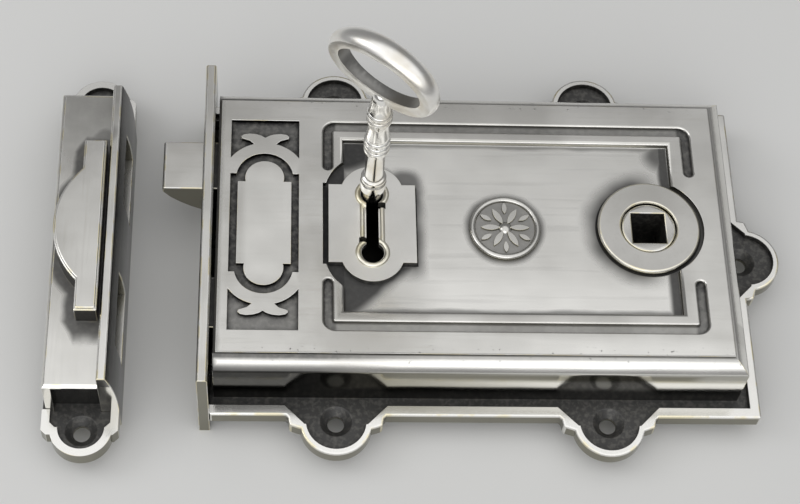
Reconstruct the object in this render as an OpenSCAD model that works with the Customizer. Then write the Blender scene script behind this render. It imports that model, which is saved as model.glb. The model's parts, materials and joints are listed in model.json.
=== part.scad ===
// Rim box lock with its key and box keep, built as separate pieces.
// Millimetres. +Z points out of the door, the forend is at -X.
// The origin is the centre of the four lug screws, on the door face.

/* [Case] */
// Distance from the lug screws' centre to the forend's outer face
forend_x = 78; // [74:0.5:84]
// Length of the flat face
face_len = 146.6; // [140:0.1:150]
// Depth of the flat face, front to back
face_dep = 83.2; // [78:0.1:88]
// Height of the face above the door
face_z = 24; // [23:0.1:26]
// Thickness of the face casting
face_t = 3.8; // [3.6:0.1:4.4]
// Thickness of the case walls
wall_t = 2.2; // [1.8:0.1:2.6]
// Width of the edge moulding
mould_w = 4.2; // [3.6:0.1:4.6]
// Drop of the edge moulding
mould_h = 4.4; // [3.6:0.1:5]
// Depth of the sunk main panel
panel_d = 1.8; // [1.2:0.1:2]
// Depth of the ornamental recesses
orn_d = 1.3; // [0.8:0.1:1.6]

/* [Flange] */
// Thickness of the base plate
base_t = 3.4; // [3:0.1:3.6]
// Height of the raised flange rim
rim_z = 5.2; // [4.6:0.1:6]
// Width of the flange rim
rim_w = 3.2; // [2.4:0.1:3.6]
// Width of the channel inside the rim
channel_w = 3; // [2.4:0.1:3.4]
// Lug screws, distance along the case
lug_sx = 78; // [70:0.5:86]
// Lug screws, distance across the case
lug_sy = 106.2; // [104:0.1:108]
// Radius of a lug's round end
lug_r = 10.3; // [9:0.1:11]
// Width of the rim round a lug's end
lug_rim = 1.9; // [1.6:0.1:2.8]
// Radius of the lug screw holes
lug_hole_r = 2.4; // [2:0.1:2.8]

/* [Forend] */
// Thickness of the forend plate
forend_t = 3.2; // [2.6:0.1:3.6]
// Length of the forend
forend_l = 104; // [98:0.5:108]
// Top edge of the forend above the door face
forend_top = 27; // [25:0.1:29]
// Depth of the forend's lip over the door edge
lip = 6; // [4:0.5:9]

/* [Bolts] */
// Offset of each bolt from the centre line
bolt_y = 22.75; // [21:0.05:24]
// Width of the bolts
bolt_w = 16.1; // [14:0.1:17]
// Underside of the bolts
bolt_z0 = 5; // [4.6:0.1:6]
// Top of the bolts
bolt_z1 = 17.5; // [16:0.1:18]
// How far the latch stands out of the forend
latch_out = 12; // [9:0.1:13]
// Clearance round each bolt
bolt_gap = 0.3; // [0.2:0.05:0.5]

/* [Key and keyhole] */
// Key centre along the case
key_x = -29; // [-32:0.1:-26]
// Offset of the two round ends of the keyhole from the centre line
key_y = 9.65; // [9:0.05:10.5]
// Radius of the keyhole's round ends
hole_r = 3.3; // [3:0.1:3.6]
// Width of the keyhole's slot
slot_w = 3.6; // [3:0.1:4]
// Turn of the key away from the X axis
key_turn = -36; // [-40:1:-30]
// Radius of the key's shank
shank_r = 2.8; // [2.4:0.05:2.9]
// Reach of the key's bit
bit_reach = 13.5; // [12:0.1:14]
// Height of the bow's centre
bow_z = 86.4; // [70:0.1:92]

/* [Spindle] */
// Spindle centre along the case
spindle_x = 51.5; // [48:0.1:54]
// Side of the square spindle hole
spindle_sq = 9.7; // [8:0.1:10]
// Radius of the follower's bosses
boss_r = 7.9; // [7.4:0.05:8.2]
// Drop of the follower's front below the face
boss_drop = 0.6; // [0.4:0.1:3]
// Radius of the rose
rose_r = 15; // [14:0.1:16]
// Medallion centre along the case
medal_x = 9.5; // [6:0.1:13]
// Radius of the medallion
medal_r = 10.5; // [9:0.1:11]

/* [Keep] */
// Foot of the striking plate, on the side of the lock
keep_x = -100; // [-106:0.1:-99]
// Middle of the keep, front to back
keep_y = -2.4; // [-3:0.1:3]
// Length of the keep's box
keep_l = 96.4; // [90:0.1:100]
// Width of the keep's box behind the striking plate
keep_w = 15.3; // [14:0.1:18]
// Thickness of the striking plate at its foot
strike_t = 5.2; // [4.4:0.1:6]
// How far the striking plate leans back at its top
strike_lean = 2.4; // [1:0.1:3]
// Top of the keep's box
keep_z = 19.5; // [19:0.1:21]
// Top edge of the striking plate
strike_top = 24.6; // [22:0.1:26]
// Top of the D-shaped cap
cap_z = 27; // [24:0.1:30]

/* [Hidden] */
$fn = 64;
fx = -forend_x;
fi = fx + forend_t;
x0 = fi + 1;
x1 = x0 + face_len;
hy = face_dep / 2;
wx = x1 + mould_w;
wy = hy + mould_w;
bx = wx + channel_w + rim_w;
by = wy + channel_w + rim_w;
ceil_z = face_z - face_t;
panel_z = face_z - panel_d;
sp = [spindle_x, 0];
kp = [key_x, key_y];
run = 0.08;
e = 0.01;
lug5_x = bx - 0.6;
orn_x = -60.1;

// Small shapes used by several pieces

// Box given by its two corners
module box(a, b) {
  translate(a) cube(b - a);
}

// Flat shape raised between two heights
module slab(z0, z1) {
  translate([0, 0, z0]) linear_extrude(z1 - z0) children();
}

// Upright round post
module post(p, r, z0, z1) {
  translate([p[0], p[1], z0]) cylinder(r = r, h = z1 - z0);
}

// Profile in Y and Z, carried along X
module along_x(a, b) {
  translate([a, 0, 0]) rotate([90, 0, 90]) linear_extrude(b - a) children();
}

// Profile in X and Z, carried along Y
module along_y(a, b) {
  translate([0, b, 0]) rotate([90, 0, 0]) linear_extrude(b - a) children();
}

// Rectangle given by its two corners
module rect(a, b) {
  translate(a) square(b - a);
}

// A curved flat-spring strip between three guide points
function bez(p, q, r, t) = (1 - t) * (1 - t) * p + 2 * t * (1 - t) * q + t * t * r;
function tang(p, q, r, t) = (1 - t) * (q - p) + t * (r - q);
function side(v) = [-v[1], v[0]] / norm(v);
function edge(p, q, r, t, w) = bez(p, q, r, t) + w * side(tang(p, q, r, t));
function strip(p, q, r, w, n) = concat(
  [for (i = [0:n]) edge(p, q, r, i / n, w / 2)],
  [for (i = [n:-1:0]) edge(p, q, r, i / n, -w / 2)]);

// Edge moulding: a quirk below the face, then a softly swelling slope
function swell(t) = 0.3 * sin(180 * t);
function mould_pt(t) = [
  0.6 + (mould_w - 0.6) * t + swell(t) * 0.7,
  -0.8 - (mould_h - 0.8) * t + swell(t) * 0.7];
mould_edge = concat([[0, 0], [0, -0.8]], [for (i = [0:7]) mould_pt(i / 7)]);

module section_y() {
  right = [for (m = mould_edge) [hy + m[0], face_z + m[1]]];
  polygon(concat(
    [[-wy, base_t], [wy, base_t]],
    [for (i = [len(right) - 1:-1:0]) right[i]],
    [for (p = right) [-p[0], p[1]]]));
}

module section_x() {
  right = [for (m = mould_edge) [x1 + m[0], face_z + m[1]]];
  polygon(concat(
    [[x0, base_t], [wx, base_t]],
    [for (i = [len(right) - 1:-1:0]) right[i]],
    [[x0 + 0.8, face_z], [x0, face_z - 0.8]]));
}

// Keyhole outline: two round ends, a slot and two ward notches
module keyhole(grow = 0) {
  for (s = [-1, 1]) translate([key_x, s * key_y]) circle(hole_r + grow);
  translate([key_x, 0]) square([slot_w + 2 * grow, 2 * key_y], center = true);
  if (grow == 0) {
    rect([key_x, 4.8], [key_x + 3.9, 6.6]);
    rect([key_x - 3.9, -6.6], [key_x, -4.8]);
  }
}

// Shoulders of a screw lug and of its sunk floor, standing on the line y = 0
lug_edge = [[14.3, 6], [14.3, 0], [13.6, -0.7], [13.2, -3], [9.6, -4.2]];
lug_floor = [[14.6, 6], [14.6, 3.2], [8.9, -2.5]];

// Screw lug outline, pointing to -Y
module lug(line, r) {
  last = len(line) - 1;
  polygon(concat(line, [for (i = [last:-1:0]) [-line[i][0], line[i][1]]]));
  translate([0, -1.7]) circle(r);
}

module lugs(line, r) {
  for (sx = [-1, 1]) for (sy = [0, 1]) mirror([0, sy]) translate([sx * lug_sx / 2, -by]) lug(line, r);
  translate([bx - 0.9, 0]) rotate(90) lug(line, r);
}

// Places each of the five lug screw holes
module at_lugs() {
  for (sx = [-1, 1]) for (sy = [-1, 1]) translate([sx * lug_sx / 2, sy * lug_sy / 2, 0]) children();
  translate([lug5_x, 0, 0]) children();
}

module csk_hole(r, head_r, top) {
  translate([0, 0, -1]) cylinder(r = r, h = top + 2);
  translate([0, 0, top - (head_r - r)]) cylinder(r1 = r, r2 = head_r, h = head_r - r + e);
}

pillar_at = [[-65, 38], [-65, -38], [69.5, 38], [69.5, -38]];

// Base casting: floor, raised rim that runs round the five lugs, holes
module base_plate() {
  color([0.62, 0.61, 0.57]) difference() {
    union() {
      slab(0, base_t) {
        rect([fi, -by], [bx, by]);
        lugs(lug_edge, lug_r);
      }
      slab(base_t - e, rim_z) difference() {
        union() {
          rect([fi, -by], [bx, by]);
          lugs(lug_edge, lug_r);
        }
        rect([fi - 1, -by + rim_w], [bx - rim_w, by - rim_w]);
        lugs(lug_floor, lug_r - lug_rim);
      }
    }
    at_lugs() csk_hole(lug_hole_r, 4.6, base_t);
    post(sp, boss_r + run, -1, base_t + 1);
    slab(-1, base_t + 1) keyhole();
    for (p = pillar_at) translate([p[0], p[1], base_t]) rotate([180, 0, 0]) csk_hole(1.6, 3.3, base_t);
  }
}

// Fishtail ornament above each arch of the end panel
fishtail = [
  [2.9, 26], [4.5, 27.5], [6.9, 28.3], [7.1, 29], [6.3, 29.7],
  [4.6, 30], [2.6, 29.8], [1.1, 29.3], [0, 28.6]];

// Cartouche of the end panel, and the groove round it when grown
module cartouche(g = 0) {
  square([15.6 + 2 * g, 27.2 + 2 * g], center = true);
  for (s = [-1, 1]) translate([0, s * 14.8]) circle(5.7 + g);
}

module end_panel() {
  difference() {
    intersection() {
      cartouche(2.6);
      square([19.8, 70], center = true);
    }
    cartouche();
  }
  for (s = [0, 1]) mirror([0, s]) difference() {
    rect([-9.9, 20], [9.9, 34.6]);
    translate([0, 14.6]) circle(12.2);
    polygon(concat([[0, 24]], fishtail));
    mirror([1, 0]) polygon(concat([[0, 24]], fishtail));
  }
}

// Groove round the main panel: centre line, corner radius and half section
groove_x = [-41.75, 64.95];
groove_y = 33;
groove_turn = 2;
groove_stop = [19.4, 18.8];
groove_half = [
  [1, -orn_d], [1.22, 0.3 - orn_d], [1.3, -0.62], [1.4, -0.34], [1.6, -0.12], [1.9, 0], [1.9, 1]];

module groove_section() {
  last = len(groove_half) - 1;
  polygon(concat(groove_half, [for (i = [last:-1:0]) [-groove_half[i][0], groove_half[i][1]]]));
}

module panel_groove() {
  for (s = [0, 1]) mirror([0, s, 0]) {
    along_x(groove_x[0] + groove_turn, groove_x[1] - groove_turn)
      translate([groove_y, face_z]) groove_section();
    for (i = [0, 1]) {
      along_y(groove_stop[i], groove_y - groove_turn) translate([groove_x[i], face_z]) groove_section();
      translate([groove_x[i], groove_stop[i], face_z]) rotate_extrude()
        polygon(concat([[0, -orn_d]], groove_half, [[0, 1]]));
    }
    translate([groove_x[0] + groove_turn, groove_y - groove_turn, face_z]) rotate(90)
      rotate_extrude(angle = 90) translate([groove_turn, 0]) groove_section();
    translate([groove_x[1] - groove_turn, groove_y - groove_turn, face_z])
      rotate_extrude(angle = 90) translate([groove_turn, 0]) groove_section();
  }
}

// Recess in which the escutcheon stands
module escutcheon_seat() {
  for (s = [-1, 1]) translate([key_x, s * key_y]) circle(13.8);
  rect([key_x - 14.2, -13.4], [key_x + 20, 13.4]);
}

// Sunk main panel, its edges a cove below and a rounded shoulder above
panel_x = [-36.7, 58.7];
panel_y = 27.7;
panel_side = [
  [0, 0], [0.25, 0.12], [0.42, 0.4], [0.5, 0.8], [0.58, 1.15], [0.75, 1.45], [1.05, 1.68], [1.5, panel_d]];

// Section across the panel between two floor edges
module panel_section(a, b) {
  polygon(concat(
    [for (p = panel_side) [b + p[0], panel_z + p[1]]],
    [[b + 1.5, face_z + 1], [a - 1.5, face_z + 1]],
    [for (i = [len(panel_side) - 1:-1:0]) [a - panel_side[i][0], panel_z + panel_side[i][1]]]));
}

module sunk_panel() {
  intersection() {
    along_x(panel_x[0] - 5, panel_x[1] + 5) panel_section(-panel_y, panel_y);
    along_y(-panel_y - 5, panel_y + 5) panel_section(panel_x[0], panel_x[1]);
  }
}

// Space each bolt passes through, as a profile in Y and Z
module bolt_way(g) {
  for (s = [-1, 1]) rect(
    [s * bolt_y - bolt_w / 2 - g, bolt_z0 - g],
    [s * bolt_y + bolt_w / 2 + g, bolt_z1 + g]);
}

forend_screw_y = [-41, 0, 41];

// Upper casting: mitred mouldings, sunk panels, cavity for the works
module case_cover() {
  color([0.68, 0.67, 0.63]) difference() {
    intersection() {
      along_x(x0 - 5, wx + 5) section_y();
      along_y(-wy - 5, wy + 5) section_x();
    }
    box([x0 + wall_t, -wy + wall_t, base_t - 1], [wx - wall_t, wy - wall_t, ceil_z]);
    translate([orn_x, 0, face_z - orn_d]) linear_extrude(5) end_panel();
    panel_groove();
    sunk_panel();
    slab(panel_z, face_z + 1) escutcheon_seat();
    post(sp, rose_r + 1.2, panel_z, face_z + 1);
    post(sp, boss_r + run, ceil_z - 1, face_z);
    slab(ceil_z - 1, face_z) keyhole(0.6);
    along_x(x0 - 1, x0 + wall_t + 1) bolt_way(bolt_gap);
    for (y = forend_screw_y) translate([x0 - 1, y, 11]) rotate([0, 90, 0]) cylinder(r = 1.6, h = wall_t + 2);
  }
}

// Forend plate: eased top edges, two bolt mouths, countersunk screw holes, lip below
module forend() {
  color([0.72, 0.71, 0.68]) difference() {
    along_y(-forend_l / 2, forend_l / 2) polygon([
      [fx, -lip], [fi, -lip], [fi, forend_top - 0.5], [fi - 0.5, forend_top],
      [fx + 0.5, forend_top], [fx, forend_top - 0.5]]);
    along_x(fx - 1, fi + 1) bolt_way(bolt_gap);
    for (y = forend_screw_y) translate([fi, y, 11]) rotate([0, -90, 0]) csk_hole(1.7, 3.4, forend_t);
  }
}

// Countersunk screw with a slotted head, head face at z = 0, shank to +Z
module screw(r, head_r, l) {
  difference() {
    union() {
      cylinder(r1 = head_r, r2 = r, h = head_r - r);
      cylinder(r = r, h = l);
    }
    translate([-head_r, -0.4, -1]) cube([2 * head_r, 0.8, 1.7]);
  }
}

module forend_screws() {
  color([0.55, 0.54, 0.52]) for (y = forend_screw_y) translate([fx + 0.1, y, 11])
    rotate([0, 90, 0]) screw(1.55, 3.2, 9);
}

// Escutcheon: stepped round-ended plate with a half-round thread about the keyhole
module keyhole_escutcheon() {
  top = face_z + 0.1;
  waist = 2.9;
  ring = hole_r + 0.9;
  drop = sqrt(ring * ring - waist * waist);
  color([0.74, 0.73, 0.69]) difference() {
    union() {
      slab(panel_z, top) {
        translate([key_x, 0]) square([25.2, 25.8], center = true);
        for (s = [-1, 1]) translate([key_x, s * 9.8]) circle(9.2);
      }
      for (s = [-1, 1]) {
        translate([key_x, s * key_y, top - 0.05]) rotate_extrude() translate([ring, 0]) circle(0.8, $fn = 32);
        translate([key_x + s * waist, drop - key_y, top - 0.05]) rotate([-90, 0, 0])
          cylinder(r = 0.7, h = 2 * (key_y - drop));
      }
    }
    slab(panel_z - 1, top + 2) keyhole();
  }
}

// Rose: flat ring with an eased edge, round the follower
module spindle_rose() {
  top = face_z + 0.2;
  color([0.7, 0.69, 0.66]) translate([spindle_x, 0, 0]) rotate_extrude() polygon([
    [boss_r + 0.3, panel_z], [rose_r, panel_z], [rose_r, top - 0.5], [rose_r - 0.5, top],
    [boss_r + 0.6, top], [boss_r + 0.3, top - 0.3]]);
}

// Leaf with its middle on the X axis, made by two crossing circles
module leaf(mid, r, off) {
  intersection() {
    translate([mid, -off]) circle(r);
    translate([mid, off]) circle(r);
  }
}

// Medallion: raised bead rim, dished field and a plain rosette of petals and leaves
module medallion() {
  color([0.7, 0.69, 0.65]) translate([medal_x, -0.4, panel_z]) {
    cylinder(r = medal_r - 0.2, h = 0.7);
    translate([0, 0, 0.7]) rotate_extrude() translate([medal_r - 1, 0]) intersection() {
      circle(0.9, $fn = 32);
      translate([-2, 0]) square(4);
    }
    linear_extrude(1.3) for (i = [0:5]) rotate(60 * i) {
      leaf(4.2, 5, 4.1);
      rotate(30) leaf(6.4, 2.7, 2);
    }
    translate([0, 0, -0.6]) intersection() {
      sphere(2.4);
      translate([-3, -3, 0.6]) cube(6);
    }
  }
}

// Four pillars that hold the cover off the base plate
module case_pillars() {
  color([0.58, 0.55, 0.48]) for (p = pillar_at) difference() {
    post(p, 3.2, base_t, ceil_z);
    post(p, 1.55, base_t - 1, base_t + 9);
  }
}

module case_screws() {
  color([0.5, 0.5, 0.5]) for (p = pillar_at) translate([p[0], p[1], 0.1]) screw(1.5, 3.1, 11);
}

tail_y = [20.5, 25];
tail_z = [9, 13];
hook_x = spindle_x + 3.55;

// Bridge in which the latch's tail slides
module latch_guide() {
  color([0.6, 0.58, 0.5]) difference() {
    box([-7, 17.4, base_t], [1, 28.1, 16]);
    box([-8, tail_y[0] - 0.3, tail_z[0] - 0.3], [2, tail_y[1] + 0.3, tail_z[1] + 0.3]);
  }
}

spring_at = [70.2, 1.5];

module latch_spring_post() {
  color([0.55, 0.54, 0.5]) post(spring_at, 1.5, base_t, 15);
}

// Flat V spring: eye on its post, one leaf on the latch's hook, one on the end wall
module latch_spring() {
  color([0.32, 0.33, 0.36]) union() {
    slab(9.4, 12.6) difference() {
      translate(spring_at) circle(2.35);
      translate(spring_at) circle(1.58);
    }
    slab(9.4, 12.6) polygon(strip([68.4, 2.6], [61.6, 7], [60.6, 18.4], 0.75, 12));
    slab(9.4, 12.6) translate([60.95, 18.7]) circle(0.8);
    slab(9.4, 12.6) polygon(strip([72, 2.6], [73.8, 8], [74.1, 17], 0.75, 8));
  }
}

// Latch head, bevelled on the door side
module latch_head() {
  t = fx - latch_out;
  color([0.75, 0.73, 0.66]) difference() {
    along_y(bolt_y - bolt_w / 2, bolt_y + bolt_w / 2) polygon([
      [-58, bolt_z0], [fx - 0.5, bolt_z0], [fx - 4, bolt_z0 + 2], [fx - 7.2, bolt_z0 + 4.5],
      [t + 2, bolt_z0 + 7.3], [t, bolt_z0 + 10.2], [t, bolt_z1 - 0.5], [t + 0.5, bolt_z1], [-58, bolt_z1]]);
    box([-64, tail_y[0], tail_z[0]], [-57, tail_y[1], tail_z[1]]);
  }
}

// Latch tail with the hook that the follower's horn draws back
module latch_tail() {
  color([0.6, 0.58, 0.52]) slab(tail_z[0], tail_z[1]) {
    rect([-64, tail_y[0]], [60, tail_y[1]]);
    rect([hook_x, 12.5], [60, tail_y[1]]);
  }
}

// Follower: square spindle hole, two bosses and a horn
module follower() {
  color([0.66, 0.62, 0.5]) translate([spindle_x, 0, 0]) difference() {
    union() {
      post([0, 0], boss_r, 0.4, face_z - boss_drop);
      post([0, 0], 11, base_t + 0.4, ceil_z - 0.4);
      slab(9.2, 12.8) {
        rect([-3.2, 0], [3.2, 16]);
        translate([0, 16]) circle(3.2);
      }
    }
    translate([0, 0, 12]) cube([spindle_sq, spindle_sq, 40], center = true);
  }
}

// Dead bolt head, drawn back flush with the forend
module bolt_head() {
  a = fx + 0.4;
  color([0.75, 0.73, 0.66]) difference() {
    along_y(-bolt_y - bolt_w / 2, -bolt_y + bolt_w / 2) polygon([
      [-52, bolt_z0], [a + 0.5, bolt_z0], [a, bolt_z0 + 0.5],
      [a, bolt_z1 - 0.5], [a + 0.5, bolt_z1], [-52, bolt_z1]]);
    box([-58, -26, 8], [-51, -17, 11]);
  }
}

stump_at = [-12, -16];

// Dead bolt tail: talon for the key's bit, guide slot, tumbler notches
module bolt_tail() {
  color([0.6, 0.58, 0.52]) slab(8, 11) difference() {
    union() {
      rect([-58, -26], [-50, -17]);
      rect([-52, -26], [8, -4.8]);
      rect([key_x - 5.5, -6], [key_x + 2.8, 2.5]);
      rect([key_x + 12.5, -6], [key_x + 20, 2.5]);
    }
    rect([stump_at[0] - 0.3, stump_at[1] - 2.9], [stump_at[0] + 15.3, stump_at[1] + 2.9]);
    for (d = [-0.3, 15.3]) translate(stump_at + [d, 0]) circle(2.9);
    for (d = [0, 15]) rect([-24.4 + d, -27], [-19.6 + d, -22.8]);
  }
}

// Collared post that guides the dead bolt's tail
module bolt_stump() {
  color([0.55, 0.54, 0.5]) {
    post(stump_at, 5, base_t, 7.7);
    post(stump_at, 2.6, 7, 11);
  }
}

pivot_at = [16, -22];

module tumbler_pivot() {
  color([0.55, 0.54, 0.5]) {
    post(pivot_at, 4.4, base_t, 11.1);
    post(pivot_at, 2.2, 11, 14.5);
  }
}

// Tumbler: round belly about the key, stump below, held up by the bit
module tumbler() {
  color([0.62, 0.6, 0.54]) {
    slab(11.4, 13) difference() {
      union() {
        polygon([
          [15, -27], [16, -17], [-8, -7], [-14.5, -3.5], [-43, -3.5], [-46, -8], [-46, -22],
          [-42, -28], [-26, -29.7], [-18, -29.7], [-13, -28]]);
        translate(pivot_at) circle(5);
      }
      translate(kp) circle(bit_reach + 0.4);
      translate(pivot_at) circle(2.2 + run);
    }
    box([-24, -29.6, 8.2], [-20, -26.4, 11.5]);
  }
}

tspring_at = [14, -38];

module tumbler_spring_post() {
  color([0.55, 0.54, 0.5]) post(tspring_at, 1.4, base_t, 14.4);
}

// Flat spring that presses the tumbler towards the key
module tumbler_spring() {
  color([0.32, 0.33, 0.36]) union() {
    slab(11.5, 13) difference() {
      translate(tspring_at) circle(2.2);
      translate(tspring_at) circle(1.48);
    }
    slab(11.5, 13) polygon(strip([12.3, -38.9], [-8, -39.5], [-21, -30.5], 0.6, 12));
    slab(11.5, 13) polygon(strip([15.6, -39], [20, -41], [27, -42.9], 0.6, 6));
  }
}

// Ward: part of a ring about the key, below the dead bolt's tail
module key_ward() {
  color([0.6, 0.58, 0.5]) slab(base_t, 7.6) translate(kp) difference() {
    circle(8.2);
    circle(7);
    rect([-10, 2], [10, 10]);
    rect([-3, -10], [3, 0]);
  }
}

// Half outline of the turned shank, radius then height
shank_line = [
  [0, 0.8], [2.2, 0.8], [shank_r, 1.4], [shank_r, 28.2], [3.3, 28.2], [3.65, 28.6], [3.75, 29.4],
  [3.75, 32.2], [3.55, 32.8], [3.4, 33.2], [3.6, 33.7], [3.6, 34.3], [3.2, 34.9], [shank_r, 35.3],
  [shank_r, 48.3], [3.2, 48.8], [3.6, 50], [3.7, 50.8], [3.6, 51.6], [3.4, 52.1], [3.7, 52.6],
  [3.75, 53.5], [3.7, 54.2], [3.45, 54.6], [3.75, 55.1], [3.7, 55.7], [3.4, 57.2], [3.15, 59],
  [2.95, 61], [2.85, 62.4], [3, 63.3], [3.4, 64], [3.55, 65], [3.45, 65.8], [3.25, 66.2],
  [3.5, 66.7], [3.6, 67.5], [3.5, 68.2], [3.25, 68.5], [3.5, 69], [3.45, 69.6], [3.1, 71],
  [2.85, 72.6], [2.75, 74.9], [0, 74.9]];

// Bow: oval band, flat inside, rounded outside and slimmer towards the shank
bow_r = 12.3;
bow_stretch = 1.4;
bow_hole = [13.1, 8.1];
bow_round = 4.2;
bow_half = 3.9;
bow_top = 3.3;
bow_low = 1.5;

// Wedge between the two flat sides of the bow
module bow_taper() {
  reach = 14;
  mid = (bow_top + bow_low) / 2;
  lean = (bow_top - bow_low) / 2 * reach / (bow_r - 1.6);
  along_x(-20, 20) polygon([
    [-reach, lean - mid], [reach, -lean - mid], [reach, mid + lean], [-reach, mid - lean]]);
}

// Oval disc with a rounded rim, before its opening is cut
module bow_disc() {
  intersection() {
    scale([bow_stretch, 1, 1]) rotate_extrude() {
      rect([0, -bow_half], [bow_r - bow_round + 0.9, bow_half]);
      intersection() {
        translate([bow_r - bow_round, 0]) circle(bow_round);
        rect([bow_r - bow_round - 0.1, -bow_half], [bow_r + 1, bow_half]);
      }
    }
    bow_taper();
  }
}

module at_bow() {
  translate([kp[0], kp[1], bow_z]) rotate(key_turn) rotate([90, 0, 0]) children();
}

module key_bow() {
  color([0.8, 0.78, 0.7]) at_bow() difference() {
    bow_disc();
    slab(-6, 6) scale([bow_hole[0] / bow_hole[1], 1]) circle(bow_hole[1]);
  }
}

// Turned shank, saddled at the top to the bow's underside
module key_shank() {
  color([0.8, 0.78, 0.7]) difference() {
    translate(kp) rotate_extrude() polygon(shank_line);
    at_bow() bow_disc();
  }
}

// Bit: flat blade with a ward slit and a side rib that fits the keyhole's notch
module key_bit() {
  color([0.8, 0.78, 0.7]) translate(kp) rotate(key_turn) difference() {
    union() {
      box([2, -1.3, 5], [bit_reach, 1.3, 13.5]);
      box([2.4, 0, 5], [4.6, 3.3, 13.5]);
    }
    post([0, 0], shank_r, 0, 20);
    box([6.7, -2, 4], [8.5, 2, 8]);
    box([10.4, -2, 12], [11.9, 2, 14]);
  }
}

keep_i = keep_x - strike_t;
keep_o = keep_i - keep_w;
keep_edge = keep_o - 1;
keep_hole = [keep_x - 10.4, 54.1];
keep_end_wall = 1.8;
keep_pocket = 2.4;

// Keep lug outline on the keep's end, pointing to -Y
module keep_lug(inset = 0) {
  left = keep_edge + inset;
  right = keep_x - inset;
  inner = 2 - keep_l / 2;
  foot = inset - keep_l / 2 - 7.8;
  cut = 1.4;
  polygon([
    [left, inner], [left, foot + cut], [left + cut, foot],
    [right - cut, foot], [right, foot + cut], [right, inner]]);
  translate([keep_hole[0], 0.4 - keep_hole[1]]) circle(8.8 - inset);
}

module keep_base() {
  color([0.62, 0.61, 0.57]) translate([0, keep_y, 0]) difference() {
    union() {
      slab(0, base_t) {
        rect([keep_edge, -keep_l / 2], [keep_i, keep_l / 2]);
        for (s = [0, 1]) mirror([0, s]) intersection() {
          keep_lug();
          rect([-200, -80], [0, -keep_l / 2]);
        }
      }
      slab(base_t - e, rim_z) for (s = [0, 1]) mirror([0, s]) difference() {
        intersection() {
          keep_lug();
          rect([-200, -80], [0, -keep_l / 2]);
        }
        keep_lug(2.4);
      }
    }
    for (s = [-1, 1]) translate([keep_hole[0], s * keep_hole[1], 0]) csk_hole(lug_hole_r, 4.6, base_t);
  }
}

// D-shaped outline of the cap, straight side towards the striking plate
module cap_outline(inset = 0) {
  rect([keep_i - 7.2 + inset, -27.9 + inset], [keep_i - 0.7 - inset, 27.9 - inset]);
  intersection() {
    translate([keep_i + 11.8, 0]) circle(26.3 - inset);
    rect([keep_i - 30, -30], [keep_i - 5, 30]);
  }
}

// Keep box: sunk end walls, back wall and top, open towards the striking plate
module keep_box() {
  color([0.68, 0.67, 0.63]) translate([0, keep_y, 0]) difference() {
    intersection() {
      along_y(-keep_l / 2, keep_l / 2) polygon([
        [keep_o, base_t], [keep_i, base_t], [keep_i, keep_z],
        [keep_o + 0.8, keep_z], [keep_o, keep_z - 0.8]]);
      along_x(keep_o - 1, keep_i + 1) polygon([
        [-keep_l / 2, base_t], [keep_l / 2, base_t], [keep_l / 2, keep_z - 0.8],
        [keep_l / 2 - 0.8, keep_z], [-keep_l / 2 + 0.8, keep_z], [-keep_l / 2, keep_z - 0.8]]);
    }
    box(
      [keep_o + 1.6, -keep_l / 2 + keep_pocket + keep_end_wall, base_t - 1],
      [keep_i + 1, keep_l / 2 - keep_pocket - keep_end_wall, keep_z - 1.4]);
    for (s = [0, 1]) mirror([0, s, 0]) box(
      [keep_o + 2.4, -keep_l / 2 - 1, base_t - 1],
      [keep_i + 1, -keep_l / 2 + keep_pocket, keep_z - 1.2]);
    slab(keep_z - 3, keep_z + 1) cap_outline(1.6);
  }
}

// Outer side of the striking plate, upright at the foot and leaning back above
function strike_side(t) = [keep_x - strike_lean * pow(t, 2.2), rim_z + (strike_top - 0.4 - rim_z) * t];

// Striking plate with a mouth for each bolt and a lip like the forend's
module keep_striker() {
  color([0.72, 0.71, 0.68]) translate([0, keep_y, 0]) difference() {
    along_y(-keep_l / 2, keep_l / 2) polygon(concat(
      [[keep_i, 0], [keep_x - forend_t, 0], [keep_x - forend_t, -lip], [keep_x, -lip]],
      [for (i = [0:8]) strike_side(i / 8)],
      [[keep_x - strike_lean - 0.4, strike_top], [keep_i + 0.4, strike_top], [keep_i, strike_top - 0.4]]));
    for (s = [0, 1]) mirror([0, s, 0])
      box([keep_i - 1, 11.5, bolt_z0 - 0.6], [keep_x + 1, 34.5, keep_z - 1.4]);
  }
}

// Hollow cap over the bolts' ends
module keep_cap() {
  color([0.72, 0.71, 0.68]) translate([0, keep_y, 0]) difference() {
    union() {
      slab(keep_z, cap_z - 0.6) cap_outline();
      slab(cap_z - 0.61, cap_z) cap_outline(0.5);
    }
    slab(keep_z - 1, cap_z - 1.8) cap_outline(1.6);
  }
}

base_plate();
case_cover();
forend();
forend_screws();
keyhole_escutcheon();
spindle_rose();
medallion();
case_pillars();
case_screws();
latch_guide();
latch_spring();
latch_spring_post();
bolt_stump();
tumbler_pivot();
tumbler_spring();
tumbler_spring_post();
key_ward();
latch_head();
latch_tail();
follower();
bolt_head();
bolt_tail();
tumbler();
key_bow();
key_shank();
key_bit();
keep_base();
keep_box();
keep_striker();
keep_cap();
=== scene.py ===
"""Rim box lock: eased castings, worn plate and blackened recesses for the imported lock."""

import json
import math

import bmesh
import bpy
from mathutils import Matrix, Vector

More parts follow.
